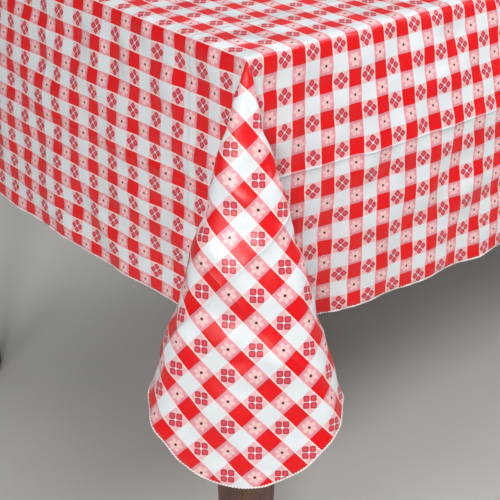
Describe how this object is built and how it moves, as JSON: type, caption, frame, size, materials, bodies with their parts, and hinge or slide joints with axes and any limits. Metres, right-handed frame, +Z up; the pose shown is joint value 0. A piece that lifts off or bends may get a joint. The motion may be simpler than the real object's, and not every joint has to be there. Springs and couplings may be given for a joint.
{
  "type": "tablecloth on a table",
  "caption": "Rectangular wooden table under a red and white checked, flannel-backed vinyl cloth that hangs in a broad fold at each corner.",
  "frame": {"origin": "on the floor under the middle of the table top", "axes": "+X along the table's length, +Y across its width, +Z up"},
  "size_m": [1.485, 1.028, 0.7527],
  "materials": {
    "oak_veneer": "dark stained, satin lacquer",
    "oak_lipping": "dark stained, satin lacquer",
    "oak_apron": "dark stained, satin lacquer",
    "oak_leg": "dark stained, satin lacquer",
    "zinc_steel": "zinc plated",
    "black_nylon": "moulded, matt",
    "grey_nylon": "moulded, satin",
    "printed_vinyl": "printed red, pink and white check, satin",
    "flannel": "brushed non-woven backing",
    "overlock_thread": "overlocked polyester thread"
  },
  "bodies": {
    "table": {"top_core": "oak_veneer", "lipping_back": "oak_lipping", "lipping_front": "oak_lipping", "lipping_left": "oak_lipping", "lipping_right": "oak_lipping", "apron_back": "oak_apron", "apron_front": "oak_apron", "apron_left": "oak_apron", "apron_right": "oak_apron", "leg_back_left": "oak_leg", "leg_back_right": "oak_leg", "leg_front_left": "oak_leg", "leg_front_right": "oak_leg", "corner_bracket_back_left": "zinc_steel", "corner_bracket_back_right": "zinc_steel", "corner_bracket_front_left": "zinc_steel", "corner_bracket_front_right": "zinc_steel", "hanger_bolt_back_left": "zinc_steel", "hanger_bolt_back_right": "zinc_steel", "hanger_bolt_front_left": "zinc_steel", "hanger_bolt_front_right": "zinc_steel", "washer_back_left": "zinc_steel", "washer_back_right": "zinc_steel", "washer_front_left": "zinc_steel", "washer_front_right": "zinc_steel", "hex_nut_back_left": "zinc_steel", "hex_nut_back_right": "zinc_steel", "hex_nut_front_left": "zinc_steel", "hex_nut_front_right": "zinc_steel", "top_clip_1": "zinc_steel", "top_clip_2": "zinc_steel", "top_clip_3": "zinc_steel", "top_clip_4": "zinc_steel", "top_clip_5": "zinc_steel", "top_clip_6": "zinc_steel", "top_clip_7": "zinc_steel", "top_clip_8": "zinc_steel", "clip_screw_1": "zinc_steel", "clip_screw_2": "zinc_steel", "clip_screw_3": "zinc_steel", "clip_screw_4": "zinc_steel", "clip_screw_5": "zinc_steel", "clip_screw_6": "zinc_steel", "clip_screw_7": "zinc_steel", "clip_screw_8": "zinc_steel", "glide_socket_back_left": "black_nylon", "glide_socket_back_right": "black_nylon", "glide_socket_front_left": "black_nylon", "glide_socket_front_right": "black_nylon"},
    "cloth": {"vinyl_cover": "printed_vinyl", "flannel_backing": "flannel", "overlock_edge": "overlock_thread"},
    "glide_back_left": {"levelling_glide_back_left": "grey_nylon"},
    "glide_back_right": {"levelling_glide_back_right": "grey_nylon"},
    "glide_front_left": {"levelling_glide_front_left": "grey_nylon"},
    "glide_front_right": {"levelling_glide_front_right": "grey_nylon"}
  },
  "joints": [
    {"name": "cloth_lift", "type": "slide", "parent": "table", "child": "cloth", "axis": [0, 0, 1], "range_m": [0, 0.45]},
    {"name": "glide_screw_back_left", "type": "slide", "parent": "table", "child": "glide_back_left", "axis": [0, 0, -1], "range_m": [0, 0.012]},
    {"name": "glide_screw_back_right", "type": "slide", "parent": "table", "child": "glide_back_right", "axis": [0, 0, -1], "range_m": [0, 0.012]},
    {"name": "glide_screw_front_left", "type": "slide", "parent": "table", "child": "glide_front_left", "axis": [0, 0, -1], "range_m": [0, 0.012]},
    {"name": "glide_screw_front_right", "type": "slide", "parent": "table", "child": "glide_front_right", "axis": [0, 0, -1], "range_m": [0, 0.012]}
  ]
}
